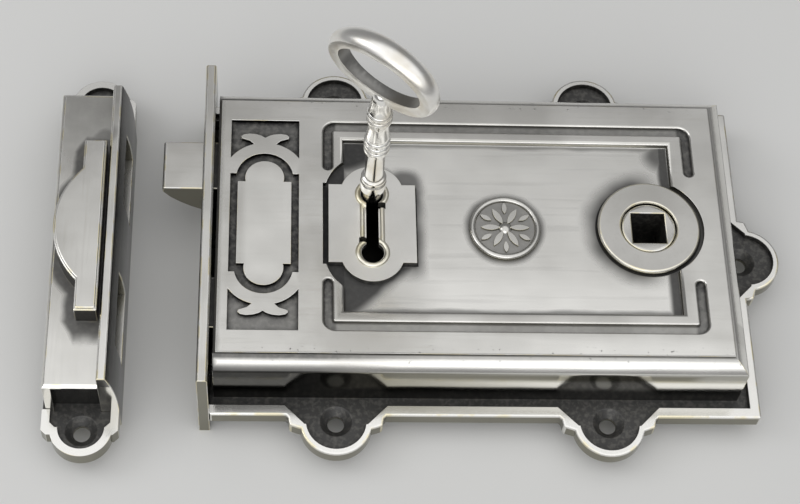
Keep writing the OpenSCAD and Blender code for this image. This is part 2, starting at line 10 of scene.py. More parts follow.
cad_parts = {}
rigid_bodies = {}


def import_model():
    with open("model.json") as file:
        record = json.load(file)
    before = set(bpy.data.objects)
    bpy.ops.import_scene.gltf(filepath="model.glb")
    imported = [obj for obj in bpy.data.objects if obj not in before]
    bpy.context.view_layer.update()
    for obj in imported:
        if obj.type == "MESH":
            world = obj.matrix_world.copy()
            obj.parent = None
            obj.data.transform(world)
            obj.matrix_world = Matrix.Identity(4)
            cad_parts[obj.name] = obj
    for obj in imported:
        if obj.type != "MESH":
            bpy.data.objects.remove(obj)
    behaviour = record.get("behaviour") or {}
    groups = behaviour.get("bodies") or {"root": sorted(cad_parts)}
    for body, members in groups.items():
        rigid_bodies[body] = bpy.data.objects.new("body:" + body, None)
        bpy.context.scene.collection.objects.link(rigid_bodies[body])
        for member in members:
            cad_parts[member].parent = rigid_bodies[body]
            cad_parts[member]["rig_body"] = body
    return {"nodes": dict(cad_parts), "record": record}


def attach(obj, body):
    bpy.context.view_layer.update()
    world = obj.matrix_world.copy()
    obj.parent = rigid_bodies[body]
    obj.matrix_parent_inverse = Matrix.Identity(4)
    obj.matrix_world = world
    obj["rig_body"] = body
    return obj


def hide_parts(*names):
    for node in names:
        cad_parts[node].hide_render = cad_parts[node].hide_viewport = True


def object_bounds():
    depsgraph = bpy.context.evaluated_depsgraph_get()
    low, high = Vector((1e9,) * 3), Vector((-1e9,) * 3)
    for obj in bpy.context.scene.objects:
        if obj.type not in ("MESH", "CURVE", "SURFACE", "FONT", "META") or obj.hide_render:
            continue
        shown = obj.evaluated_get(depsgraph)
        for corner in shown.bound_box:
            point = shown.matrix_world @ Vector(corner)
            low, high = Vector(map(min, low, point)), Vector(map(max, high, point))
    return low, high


bl_info = {
    "name": "Rim Box Lock",
    "version": (1, 0, 0),
    "blender": (4, 5, 0),
    "location": "View3D > Sidebar > Lock",
    "description": "Dresses a rim box lock with worn plate, dark recesses and a studio stage",
    "category": "Object",
}

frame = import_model()
CAD_LOW, CAD_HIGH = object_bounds()
MM = 0.001

# Camera of the photograph, in millimetres of the lock's frame
PHOTO_WIDTH = 800
CAMERA_AT = (-56.8, -273.9, 498.9)
CAMERA_LOOK = (0.0653, 0.4856, -0.8717)
CAMERA_RIGHT = (0.9978, -0.0208, 0.0631)
CAMERA_FOCAL_PX = 1907.0
SENSOR_MM = 36.0

# Studio, in metres: floor, bright part of the sky, soft boxes
FLOOR_HALF = 3.0
FLOOR_GAP = 0.1 * MM
FLOOR_ROUGHNESS = 0.7
SKY_AXIS = (0.0, -0.34, 0.94)
SKY_DARK_BELOW, SKY_BRIGHT_ABOVE = 0.48, 0.76
FRONT_BOX_AT, FRONT_BOX_SIZE = (-0.2, -0.95, 0.72), (1.2, 0.6)
LEFT_BOX_AT, LEFT_BOX_SIZE, LEFT_BOX_SHARE = (-0.9, 0.1, 0.8), (0.5, 0.5), 0.7

# Directions, and the squeeze of a noise that draws streaks along the case or along the forend
UP, NEAR, TO_LOCK = (0.0, 0.0, 1.0), (0.0, -1.0, 0.0), (1.0, 0.0, 0.0)
ORIGIN = (0.0, 0.0, 0.0)
EVEN, ALONG_CASE, ALONG_FOREND = (1.0, 1.0, 1.0), (0.05, 1.0, 1.0), (1.0, 0.05, 1.0)

# Axes of the key and of the spindle, from the record's joints, in millimetres
JOINT_AT = {joint["name"]: joint.get("pos_m") for joint in frame["record"]["behaviour"]["joints"]}
KEYHOLE_X, KEY_Y = JOINT_AT["key_turn"][0] / MM, JOINT_AT["key_turn"][1] / MM
SPINDLE_X = JOINT_AT["follower_turn"][0] / MM
BOW_Z = 86.4

# Face of the case with its sunk panel, the ornament's island and the long grooves, in millimetres
FACE_Z = 24.0
FACE_LEFT, FACE_RIGHT, FACE_HALF = -73.8, 72.8, 41.6
PANEL_Z = 22.2
PANEL_LEFT, PANEL_RIGHT, PANEL_HALF = -36.7, 58.7, 27.7
PANEL_SHOULDER = 1.6
ISLAND_X = -58.5
GROOVE_X, GROOVE_HALF, GROOVE_Y = 11.6, 51.1, 30.9
RIM_Z = 5.2

# Escutcheon, rose and medallion with their seats, in millimetres
ESCUTCHEON_HALF = 12.6
SEAT_HALF_X, SEAT_HALF_Y = 14.3, 17.5
LOBE_SEAT_HALF_X, LOBE_SEAT_HALF_Y = 11.5, 23.9
LOBE_Y, LOBE_R = 9.6, 8.9
ROSE_R, ROSE_SEAT_R = 15.0, 16.45
MEDALLION_X, MEDALLION_Y, MEDALLION_R = 9.5, -0.4, 10.5

# Slanting border of the darkening in the panel's near left corner, in millimetres
WEDGE_X, WEDGE_Y = -31.0, -26.0
WEDGE_SLANT_X, WEDGE_SLANT_Y = 0.667, 0.746

# Keep with its hood, a straight bar and a bow, in millimetres
KEEP_Y, KEEP_HALF, KEEP_TOP = -2.4, 48.2, 19.5
HOOD_BAR_X, HOOD_BAR_HALF_X, HOOD_BAR_HALF_Y = -109.2, 3.3, 27.9
HOOD_BOW_X, HOOD_BOW_R = -93.4, 26.3

# Name, light colour, stained colour and roughness of the hidden metals, by material slot
WORKS_METALS = {
    "works": ("works_brass", (0.4, 0.34, 0.21), (0.2, 0.165, 0.1), 0.42),
    "spring_steel": ("spring_blue", (0.13, 0.15, 0.21), (0.08, 0.08, 0.1), 0.3),
    "fixings": ("screw_steel", (0.4, 0.4, 0.39), (0.24, 0.23, 0.21), 0.34),
}
# Black painted as shade on the works near the keyhole and at the forend gap.
WORKS_SHADE_BLACK = (0.006, 0.006, 0.006)

# Easing of edges: merged distance, bends in degrees, shares of the edge width
MERGE = 0.002 * MM
FLAT_BEND, SMOOTH_BEND, SHARP_BEND, LEFT_OVER_BEND = 1.0, 36.0, 40.0, 50.0
LEFT_OVER_SHARE, TOO_SHORT_SHARE = 0.4, 1.2
FLANGE_SHARE, TRIM_SHARE, KEY_SHARE = 1.7, 0.7, 0.5
BOW_BEND = 30.0

# Half outline of the key's shank below, between and above its rings, radius then height in millimetres
SHANK_FOOT = [
    (0.0, 0.8), (2.2, 0.8), (2.8, 1.4), (2.8, 28.2), (3.3, 28.2),
    (3.6, 28.5), (3.75, 29.1), (3.75, 32.0), (3.6, 32.6), (3.3, 32.9),
]
SHANK_STEM = [(2.8, 35.1), (2.8, 47.4), (2.95, 48.1), (3.3, 48.5)]
SHANK_CUP = [
    (3.45, 55.9), (3.3, 56.9), (3.1, 58.2), (2.95, 59.8),
    (2.85, 61.4), (2.87, 62.4), (3.0, 63.1), (3.2, 63.4),
]
SHANK_NECK = [
    (3.3, 68.8), (3.1, 69.7), (2.92, 71.0), (2.82, 72.6), (2.75, 74.4),
    (2.6, 75.5), (2.25, 76.4), (1.6, 77.1), (0.8, 77.5), (0.0, 77.6),
]
SHANK_STEPS, RING_STEPS = 72, 8

# Rings of the shank: lower and upper height, radius at the root and at the crown in millimetres
COLLAR_RINGS = [(33.1, 34.9, 3.25, 3.65)]
MIDDLE_RINGS = [(48.6, 50.9, 3.3, 3.7), (51.1, 53.2, 3.3, 3.75), (53.4, 55.6, 3.3, 3.7)]
TOP_RINGS = [(63.6, 65.9, 3.15, 3.6), (66.1, 68.5, 3.15, 3.6)]


class Wire:
    """A shader socket that takes part in sums; each operator adds one Math node."""

    def __init__(self, graph, socket):
        self.graph = graph
        self.socket = socket

    def math(self, operation, *values):
        return self.graph.node("ShaderNodeMath", {"operation": operation}, list(values))

    def __add__(self, other):
        return self.math("ADD", self, other)

    def __radd__(self, other):
        return self.math("ADD", other, self)

    def __sub__(self, other):
        return self.math("SUBTRACT", self, other)

    def __rsub__(self, other):
        return self.math("SUBTRACT", other, self)

    def __mul__(self, other):
        return self.math("MULTIPLY", self, other)

    def __abs__(self):
        return self.math("ABSOLUTE", self)

    def __or__(self, other):
        return self.math("MAXIMUM", self, other)

    def __and__(self, other):
        return self.math("MINIMUM", self, other)


class Graph:
    """Node tree of one material or world, built from expressions."""

    def __init__(self, tree):
        self.tree = tree
        tree.nodes.clear()

    def node(self, kind, settings=None, values=None, output=0):
        """Adds a node of a kind, sets its properties, then feeds its sockets."""
        made = self.tree.nodes.new(kind)
        for name, value in (settings or {}).items():
            setattr(made, name, value)
        pairs = values.items() if isinstance(values, dict) else enumerate(values or [])
        for key, value in pairs:
            self.feed(made.inputs[key], value)
        return Wire(self, made.outputs[output]) if made.outputs else None

    def feed(self, socket, value):
        """Links a wire to a socket, or sets the socket's own value."""
        if isinstance(value, Wire):
            self.tree.links.new(value.socket, socket)
        elif socket.type == "RGBA" and len(value) == 3:
            socket.default_value = (*value, 1.0)
        else:
            socket.default_value = value

    def place(self):
        """Object coordinates in millimetres, kept as a vector and as three numbers."""
        at = self.node("ShaderNodeTexCoord", output="Object")
        self.at = self.node("ShaderNodeVectorMath", {"operation": "SCALE"}, {0: at, "Scale": 1 / MM})
        split = self.tree.nodes.new("ShaderNodeSeparateXYZ")
        self.feed(split.inputs[0], self.at)
        self.x, self.y, self.z = (Wire(self, out) for out in split.outputs)

    def stretch(self, vector, factors):
        """Vector with each coordinate multiplied by its factor."""
        return self.node("ShaderNodeVectorMath", {"operation": "MULTIPLY"}, [vector, factors])

    def toward(self, vector, direction):
        """Share of a vector along a direction."""
        settings = {"operation": "DOT_PRODUCT"}
        return self.node("ShaderNodeVectorMath", settings, [vector, direction], output="Value")

    def facing(self, direction):
        """Cosine between the surface's normal and a direction."""
        return self.toward(self.node("ShaderNodeTexCoord", output="Normal"), direction)

    def away(self, x, y):
        """Distance from an upright line, in millimetres."""
        flat = self.stretch(self.at, (1.0, 1.0, 0.0))
        settings = {"operation": "DISTANCE"}
        return self.node("ShaderNodeVectorMath", settings, [flat, (x, y, 0.0)], output="Value")

    def noise(self, vector, size, detail=2.0, rough=0.5):
        """Soft cloud noise with lumps of about the given size in millimetres."""
        return self.node(
            "ShaderNodeTexNoise", None,
            {"Vector": vector, "Scale": 1 / size, "Detail": detail, "Roughness": rough},
        )

    def ramp(self, value, low, high):
        """0 at low and 1 at high, eased; low may lie above high."""
        return self.node(
            "ShaderNodeMapRange", {"interpolation_type": "SMOOTHSTEP"},
            {"Value": value, "From Min": low, "From Max": high},
        )

    def within(self, value, limit, soft):
        """1 below a limit and 0 above it, over a soft edge to each side."""
        return self.ramp(value, limit + soft, limit - soft)

    def blend(self, factor, first, second):
        """Colour that runs from first to second."""
        return self.node("ShaderNodeMix", {"data_type": "RGBA"}, {0: factor, 6: first, 7: second}, output=2)

    def corners(self, reach):
        """0 in the open, towards 1 in inside corners within reach, in millimetres."""
        settings = {"samples": 6, "only_local": True}
        return 1 - self.node("ShaderNodeAmbientOcclusion", settings, {"Distance": reach * MM}, output="AO")

    def mark(self, name):
        """Number that a piece keeps on its faces, such as its worn edges, or its soot and painted shade."""
        return self.node("ShaderNodeAttribute", {"attribute_name": name}, output="Fac")

    def relief(self, height, depth):
        """Normal bumped by a 0 to 1 height that stands for a depth in millimetres."""
        values = {"Strength": 1.0, "Distance": depth * MM, "Height": height}
        return self.node("ShaderNodeBump", None, values, output="Normal")


def new_material(name):
    """Empty material and its graph."""
    material = bpy.data.materials.new(name)
    material.use_nodes = True
    return material, Graph(material.node_tree)


def finish_metal(graph, color, roughness, normal, metallic=1.0):
    """Closes a metal's graph with its shader and output."""
    shader = graph.node(
        "ShaderNodeBsdfPrincipled", None,
        {"Base Color": color, "Roughness": roughness, "Metallic": metallic, "Normal": normal},
    )
    graph.node("ShaderNodeOutputMaterial", None, {"Surface": shader})


def plate(name, settings, dark=None, light=None, streak=EVEN, warm=0.0, corner=0.9, matt=0.0):
    """Worn plate: clouded silver, rubbed edges, upright sides darkened as a painted reflection, and black
    grime and painted shade in the corners.

    dark(graph) gives the places with painted shade and grime and how smoothly it lies there,
    light(graph) the places painted brighter: painted highlights on the cover, a brighter tone on other
    pieces.
    """
    material, graph = new_material(name)
    graph.place()
    cloud = graph.noise(graph.at, 24.0, 3.0)
    speck = graph.noise(graph.at, 1.6, 4.0, 0.65)
    lines = graph.noise(graph.stretch(graph.at, streak), 1.0)
    silver = graph.blend(graph.ramp(cloud, 0.35, 0.7), settings.plate_light, settings.plate_deep)
    silver = graph.blend(graph.ramp(lines, 0.5, 0.75) * 0.13, silver, settings.plate_streak)
    side = graph.ramp(graph.facing(UP), 0.55, 0.15)
    # Upright sides darkened: a painted dark reflection of the ground.
    silver = graph.blend(side * 0.9, silver, settings.side_dark_reflection)
    # Brighter places from light(graph): painted highlights on the cover, a brighter tone on other pieces.
    if light:
        silver = graph.blend(light(graph), silver, settings.edge_light)
    brass = graph.ramp(graph.noise(graph.at, 7.0), 0.47, 0.6) | warm
    rubbed = graph.blend(brass, settings.edge_light, settings.brass_edge)
    edge = graph.mark("worn_edge")
    bright = graph.blend(edge * 0.85, silver, rubbed)
    # Corner darkening from ambient occlusion: grime and painted shade.
    graph.nook = graph.corners(2.0)
    grime_and_shade = graph.ramp(graph.nook + (speck - 0.5) * 0.35, 0.4, 0.75) * corner
    calm = 0.0
    if dark:
        places, calm = dark(graph)
        grime_and_shade = grime_and_shade | places
    # Marked faces go black: soot on flanges and medallion, painted shade and reflection on other pieces.
    grime_and_shade = (grime_and_shade * (1 - edge * 0.8)) | graph.mark("soot_and_shade") * (0.86 + speck * 0.14)
    stipple = graph.ramp(speck, 0.42, 0.66) * (1 - calm * 0.85)
    # Dark colour of patina, also used for painted shade.
    shade_and_patina = graph.blend(stipple, settings.shade_and_patina_black, settings.shade_and_patina_grey)
    color = graph.blend(grime_and_shade, bright, shade_and_patina)
    veil = grime_and_shade * (1 - side * calm)
    roughness = settings.plate_roughness + matt + (cloud - 0.5) * 0.1 + (lines - 0.5) * 0.06
    roughness = roughness - side * 0.08 + veil * 0.25
    height = graph.noise(graph.at, 18.0, 1.0) * 0.82 + lines * 0.008 + speck * (0.012 + veil * 0.1)
    finish_metal(graph, color, roughness, graph.relief(height, 0.18), 1 - veil * 0.5)
    return material


def panel_edge(graph):
    """Distance inside the sunk panel's border, below 0 outside it."""
    return (graph.x - PANEL_LEFT) & (PANEL_RIGHT - graph.x) & (PANEL_HALF - abs(graph.y))


def panel_floor(graph):
    """1 at the height of the sunk panel's floor and below."""
    return graph.ramp(graph.z, PANEL_Z + 0.3, PANEL_Z + 0.1)


def panel_mask(graph):
    """1 on the sunk panel and on the seats of escutcheon and rose, which cut into its border."""
    aside, across = abs(graph.x - KEYHOLE_X), abs(graph.y)
    seat = graph.within(aside, SEAT_HALF_X, 0.1) & graph.within(across, SEAT_HALF_Y, 0.1)
    lobes = graph.within(aside, LOBE_SEAT_HALF_X, 0.1) & graph.within(across, LOBE_SEAT_HALF_Y, 0.1)
    rose = graph.within(graph.away(SPINDLE_X, 0.0), ROSE_SEAT_R, 0.15)
    return graph.ramp(panel_edge(graph) + PANEL_SHOULDER, 0.0, 0.2) | seat | lobes | rose


def keyhole_end_shade(graph, drift):
    """Painted shadow round the escutcheon, black painted shade in its gaps and at the panel's left wall,
    and darker in the panel's left corners.
    """
    right = graph.x - KEYHOLE_X - ESCUTCHEON_HALF
    across = abs(graph.y)
    shade = graph.ramp(right + drift, 4.2, -0.6) * graph.ramp(across, 20.0, 11.0) * 0.85
    crack = graph.ramp(right, 0.9, 0.4) * graph.ramp(across, 13.6, 13.0)
    far_corner = graph.ramp(graph.away(PANEL_LEFT, PANEL_HALF) + drift, 13.0, 6.5) * 0.95
    wedge = (graph.x - WEDGE_X) * WEDGE_SLANT_X - (graph.y - WEDGE_Y) * WEDGE_SLANT_Y
    near_corner = graph.ramp(wedge + drift, 2.8, -2.2) * graph.ramp(graph.y, -11.0, -14.0) * 0.92
    lobe = (graph.away(KEYHOLE_X, LOBE_Y) & graph.away(KEYHOLE_X, -LOBE_Y)) - LOBE_R
    hollow = graph.ramp(lobe + drift * 0.4, 2.8, 0.2) * 0.95
    behind = graph.ramp(graph.x, PANEL_LEFT + 0.5, PANEL_LEFT - 0.5) * 0.95
    shoulder = graph.ramp(graph.away(KEYHOLE_X + 9.5, 14.0) + drift, 7.0, 3.0) * 0.75
    return shade | crack | far_corner | near_corner | hollow | behind | shoulder


def spindle_end_shade(graph, drift):
    """Painted shadow round the rose and the medallion, black painted shade in the rose's gap, and darker in
    the panel's right corner and end.
    """
    rose = graph.away(SPINDLE_X, 0.0) - ROSE_R
    shade = graph.ramp(rose + drift, 6.0, -0.8) * graph.ramp(graph.x - SPINDLE_X, 6.0, -4.0) * 0.9
    crack = graph.ramp(rose, 0.9, 0.4)
    medal = graph.away(MEDALLION_X, MEDALLION_Y) - MEDALLION_R
    ring = graph.ramp(medal + drift * 0.5, 2.2, -0.4) * 0.75
    corner = graph.ramp(graph.away(PANEL_RIGHT - 1.2, PANEL_HALF - 2.2) + drift, 7.0, 2.0) * 0.8
    end = graph.ramp(PANEL_RIGHT - graph.x + drift * 0.4, 3.4, 1.6) * 0.9
    return shade | crack | ring | corner | end


def panel_shade_and_streaks(graph, drift):
    """All painted shade and darkening on the sunk panel, with painted shade along its border and fine
    streaks.
    """
    border = graph.ramp(panel_edge(graph) + drift * 0.5, 1.6, 0.1) * 0.6
    streaks = graph.ramp(graph.noise(graph.stretch(graph.at, ALONG_CASE), 2.6), 0.55, 0.75) * 0.08
    return border | keyhole_end_shade(graph, drift) | spindle_end_shade(graph, drift) | streaks


def ornament_soot(graph):
    """Soot in the sunk ornament and the grooves, thinner towards the near side and in the long grooves."""
    depth = graph.ramp(FACE_Z - graph.z, 0.35, 0.8)
    across = graph.ramp(abs(graph.y), GROOVE_Y - 0.3, GROOVE_Y + 0.3)
    long_groove = across & graph.within(abs(graph.x - GROOVE_X), GROOVE_HALF, 0.5)
    sooty = 0.76 + graph.noise(graph.at, 2.5) * 0.16 + graph.ramp(graph.nook, 0.1, 0.4) * 0.25
    return depth * (sooty - graph.ramp(graph.y, -12.0, -34.0) * 0.2 - long_groove * 0.3)


def forend_gap(graph, drift):
    """Painted shade: black in the gap at the forend, and darker beside it."""
    beside = graph.x - FACE_LEFT
    gap = graph.ramp(beside, 0.5, 0.2) & graph.ramp(graph.z, FACE_Z - 0.5, FACE_Z - 0.9)
    return gap | graph.ramp(beside + drift * 0.4, 2.2, 0.1) * 0.5


def moulding_shade(graph, drift, left):
    """Painted shade: grey band and dark line along the top of the moulding, darker at the left as a painted
    reflection.
    """
    outside = (abs(graph.y) - FACE_HALF) | (graph.x - FACE_RIGHT)
    band = graph.ramp(outside, 0.1, 0.3) * graph.ramp(outside + drift * 0.1, 2.2, 0.8)
    line = graph.ramp(abs(outside - 0.1), 0.5, 0.15) * 0.6
    return (band * (0.36 + left * 0.4) | line) * graph.ramp(graph.z, FACE_Z - 4.5, FACE_Z - 3.5)


def cover_dark(graph):
    """Painted shade and darkening on the sunk panel, soot in ornament and grooves, pits and painted shade
    at the edges, and a front wall darkened as a painted reflection.
    """
    drift = (graph.noise(graph.at, 12.0) - 0.5) * 4.0
    panel = panel_mask(graph)
    sunk_shade_and_streaks = panel * panel_floor(graph) * panel_shade_and_streaks(graph, drift)
    soot_and_shade = (1 - panel) * ornament_soot(graph)
    to_side = FACE_HALF - abs(graph.y)
    on_face = graph.ramp(to_side, 0.2, 0.6) & graph.ramp(FACE_RIGHT - graph.x, 0.2, 0.6)
    pits = graph.ramp(graph.noise(graph.at, 1.1), 0.66, 0.72) * graph.ramp(abs(to_side), 3.2, 0.6) * 0.7
    # Darker to the left: a painted dark reflection on the front wall and the moulding.
    left = graph.ramp(graph.x + drift, -22.0, -48.0)
    front = graph.ramp(graph.facing(NEAR), 0.6, 0.9)
    # Front wall darkened low down and at the left: a painted reflection.
    wall = front * (graph.ramp(graph.z, 12.5, 8.5) * 0.85 | left * 0.92)
    edges = pits | forend_gap(graph, drift) | moulding_shade(graph, drift, left)
    return on_face * (sunk_shade_and_streaks | soot_and_shade) | edges | wall, panel | front


def cover_painted_highlights(graph):
    """Painted highlights on the sunk panel's floor and on the near and right sides of the face; brighter on
    the ornament's island too.
    """
    drift = (graph.noise(graph.stretch(graph.at, (0.3, 1.0, 1.0)), 9.0) - 0.5) * 8.0
    sunk = graph.ramp(graph.y + drift, -13.0, -22.0) & graph.ramp(graph.x + drift, -18.0, -6.0)
    floor = panel_floor(graph) * graph.ramp(abs(graph.y), 31.0, 30.0) * (0.45 + sunk * 0.45)
    near = graph.ramp(graph.y + drift * 0.4, -33.0, -40.0) & graph.ramp(graph.x + drift, -30.0, 40.0)
    near = near * (graph.ramp(graph.z, 17.0, 14.0) | graph.ramp(graph.z, 18.5, 20.5))
    island = graph.ramp(abs(graph.x - ISLAND_X), 9.0, 6.0) & graph.ramp(abs(graph.y), 22.0, 14.0)
    right = graph.ramp(graph.x + drift, 60.0, 66.0) * 0.3
    return floor | near * 0.8 | island * 0.5 | right


def forend_dark(graph):
    """Painted shade: black on the back of the forend, in the gap at the case."""
    back = graph.ramp(graph.facing(TO_LOCK), 0.5, 0.8)
    return back * graph.ramp(graph.z, FACE_Z + 0.8, FACE_Z - 0.6), 1.0


def bolt_dark(graph):
    """Painted shade: black on the part of a bolt that lies inside the case."""
    return graph.ramp(graph.x, FACE_LEFT - 1.6, FACE_LEFT - 0.8) * 0.85, 0.5


def trim_light(graph):
    """Even, well-rubbed polish."""
    return 0.3 + graph.noise(graph.at, 14.0) * 0.4


def keep_light(graph):
    """Brighter towards the near end."""
    return graph.ramp(graph.y + graph.noise(graph.at, 8.0) * 12.0, -8.0, -44.0) * 0.6


def rim_light(graph):
    """Polished top of the raised rims."""
    level = graph.ramp(graph.facing(UP), 0.5, 0.8)
    return graph.ramp(graph.z, RIM_Z - 0.4, RIM_Z - 0.1) * level


def keep_dark(graph):
    """Painted shade: black on the striking plate's side towards the lock, dark hood walls, shade round the
    hood and at the far end, and a painted shadow past the hood's far end.
    """
    drift = (graph.noise(graph.at, 6.0) - 0.5) * 2.0
    strike = graph.ramp(graph.facing(TO_LOCK), 0.35, 0.75)
    past_side = (abs(graph.x - HOOD_BAR_X) - HOOD_BAR_HALF_X) | 0.0
    past_end = (abs(graph.y - KEEP_Y) - HOOD_BAR_HALF_Y) | 0.0
    bow = graph.away(HOOD_BOW_X, KEEP_Y) - HOOD_BOW_R
    hood = (past_side + past_end * 0.6) & bow
    foot = graph.ramp(hood + drift, 4.6, 2.2) * graph.ramp(abs(graph.z - KEEP_TOP), 0.5, 0.3) * 0.8
    upright = graph.ramp(graph.facing(UP), 0.5, 0.2)
    wall = upright * graph.ramp(graph.z, KEEP_TOP + 0.1, KEEP_TOP + 0.4) * 0.8
    far = graph.ramp(graph.y + drift * 6.0, 8.0, 44.0) * 0.42
    # Painted shadow just beyond the hood's far end.
    hood_shadow = graph.ramp(graph.away(HOOD_BAR_X + 2.0, 29.5) + drift * 2.0, 6.5, 2.5) * 0.6
    return strike | foot | wall | far | hood_shadow, 0.7


def key_metal(name, settings, matt=0.0):
    """Bright turned steel with a faint warm tarnish, grime and painted shade in its rings, and black inside
    the case as painted shade.
    """
    material, graph = new_material(name)
    graph.place()
    cloud = graph.noise(graph.at, 9.0, 3.0)
    turning = graph.noise(graph.stretch(graph.at, (0.3, 0.3, 3.0)), 0.6)
    # Painted shade: the key goes black below the face of the case, inside the lock.
    inside = graph.ramp(graph.z, FACE_Z + 0.6, FACE_Z - 0.8)
    grime_and_shade = graph.ramp(graph.corners(1.4), 0.26, 0.6) * 0.85
    grime_and_shade = grime_and_shade | graph.mark("soot_and_shade") * 0.7 | inside
    silver = graph.blend(graph.ramp(cloud, 0.42, 0.7), settings.key_light, settings.key_warm)
    silver = graph.blend(inside, silver, settings.shade_and_patina_black)
    color = graph.blend(grime_and_shade * (1 - inside), silver, settings.shade_and_patina_grey)
    roughness = settings.key_roughness + matt + (cloud - 0.5) * 0.06 + grime_and_shade * 0.1
    finish_metal(graph, color, roughness, graph.relief(cloud * 0.6 + turning * 0.05, 0.07))
    return material


def works_metal(name, color, deep, rough):
    """Sawn or turned metal of the hidden works, with fine file marks, painted black as shade near the
    keyhole and at the forend gap, where it shows.
    """
    material, graph = new_material(name)
    graph.place()
    marks = graph.noise(graph.stretch(graph.at, (0.15, 2.0, 2.0)), 0.5, 3.0)
    stain = graph.ramp(graph.noise(graph.at, 5.0, 3.0), 0.35, 0.7)
    works_shade = graph.ramp(graph.away(KEYHOLE_X, 0.0), 26.0, 17.0)
    works_shade = works_shade | graph.ramp(abs(graph.x - FACE_LEFT + 0.4), 1.0, 0.7)
    coat = graph.blend(works_shade, graph.blend(stain, color, deep), WORKS_SHADE_BLACK)
    finish_metal(graph, coat, rough + (marks - 0.5) * 0.2, graph.relief(marks, 0.02))
    return material


def span(face):
    """Lowest and highest point of a face, in millimetres."""
    heights = [vert.co.z / MM for vert in face.verts]
    return min(heights), max(heights)


def flange_soot(face):
    """Floor, inner walls and countersinks inside a flange's rim."""
    low, high = span(face)
    return low > 0.5 and (high < RIM_Z - 0.5 or face.normal.z < 0.5)


def upright_gap_shade(face):
    """Tall upright walls, painted black as shade in their narrow gaps."""
    low, high = span(face)
    return abs(face.normal.z) < 0.3 and high - low > 1.2


def bow_inner_reflection(face):
    """Inner side of the key's bow, painted dark as a reflection."""
    inward = Vector((KEYHOLE_X, KEY_Y, BOW_Z)) * MM - face.calc_center_median()
    return face.normal.dot(inward.normalized()) > 0.6


def medallion_soot(face):
    """Sunk field of the medallion, half dark."""
    low, high = span(face)
    return 0.55 * (face.normal.z > 0.9 and PANEL_Z + 0.6 < low and high < PANEL_Z + 0.8)


def keep_recess_shade(face):
    """Walls of the sunk ends of the keep's box, and its inside, painted dark as shade."""
    low, high = span(face)
    sunk = abs(face.calc_center_median().y / MM - KEEP_Y) < KEEP_HALF - 0.5
    return sunk and high < KEEP_TOP - 0.5 and face.normal.x > -0.5


def sharp_edges(bm, bend):
    """Outside edges that turn by more than a bend, in degrees."""
    bm.normal_update()
    limit = math.radians(bend)
    outside = [edge for edge in bm.edges if edge.is_manifold and edge.is_convex]
    return [edge for edge in outside if edge.calc_face_angle(0.0) > limit]


def round_edges(bm, edges, width, layer, segments=2):
    """Rounds edges and marks the new faces on a layer."""
    made = bmesh.ops.bevel(
        bm, geom=edges, offset=width, offset_type="OFFSET", affect="EDGES", segments=segments, profile=0.5,
        material=-1, clamp_overlap=True, loop_slide=True,
    )
    for face in made["faces"]:
        face[layer] = 1.0


def eased_copy(node, name, width, soot_and_shade=None, soot_width=0.0, bend=SHARP_BEND, flat=True, split=False):
    """Clean copy of a CAD node with rounded edges and faces marked for soot and painted shade, which rides
    and stands for the node.
    """
    bm = bmesh.new()
    bm.from_mesh(frame["nodes"][node].data)
    bmesh.ops.remove_doubles(bm, verts=bm.verts, dist=MERGE)
    bmesh.ops.dissolve_limit(bm, angle_limit=math.radians(FLAT_BEND), verts=bm.verts, edges=bm.edges)
    inner = [face for face in bm.faces if not any(edge.is_manifold for edge in face.edges)]
    bmesh.ops.delete(bm, geom=inner, context="FACES_ONLY")
    if split:
        bmesh.ops.triangulate(bm, faces=[face for face in bm.faces if len(face.verts) > 4])
    worn = bm.faces.layers.float.new("worn_edge")
    black = bm.faces.layers.float.new("soot_and_shade")
    for face in bm.faces:
        face[black] = float(soot_and_shade(face)) if soot_and_shade else 0.0
    if soot_width:
        inside = [edge for edge in sharp_edges(bm, bend) if any(face[black] for face in edge.link_faces)]
        round_edges(bm, inside, soot_width, black, 3)
    sharp = sharp_edges(bm, bend)
    short = [edge for edge in sharp if edge.calc_length() < TOO_SHORT_SHARE * width]
    tight = {vert for edge in short for vert in edge.verts}
    free = [edge for edge in sharp if not any(vert in tight for vert in edge.verts)]
    round_edges(bm, free, width, worn)
    round_edges(bm, sharp_edges(bm, LEFT_OVER_BEND), width * LEFT_OVER_SHARE, worn)
    return stand_in(bm, node, name, flat)


def stand_in(bm, node, name, flat):
    """Object from a finished mesh, which rides and stands for a CAD node."""
    bm.normal_update()
    for edge in bm.edges:
        edge.smooth = edge.calc_face_angle(0.0) < math.radians(SMOOTH_BEND)
    mesh = bpy.data.meshes.new(name)
    bm.to_mesh(mesh)
    bm.free()
    mesh.polygons.foreach_set("use_smooth", [True] * len(mesh.polygons))
    piece = bpy.data.objects.new(name, mesh)
    bpy.context.scene.collection.objects.link(piece)
    if flat:
        normals = piece.modifiers.new("flat faces", "WEIGHTED_NORMAL")
        normals.weight = 100
        normals.keep_sharp = True
    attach(piece, frame["nodes"][node]["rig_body"])
    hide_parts(node)
    return piece


def beads(rings):
    """Half-round rings of a turned outline, one above the other."""
    turns = [math.pi * step / RING_STEPS for step in range(RING_STEPS + 1)]
    outline = []
    for low, high, root, crown in rings:
        middle, half = (low + high) / 2, (high - low) / 2
        for turn in turns:
            outline.append((root + (crown - root) * math.sin(turn), middle - half * math.cos(turn)))
    return outline


def shank_outline():
    """Half outline of the key's shank from its pin to its rounded top."""
    lower = SHANK_FOOT + beads(COLLAR_RINGS) + SHANK_STEM
    upper = beads(MIDDLE_RINGS) + SHANK_CUP + beads(TOP_RINGS) + SHANK_NECK
    return lower + upper


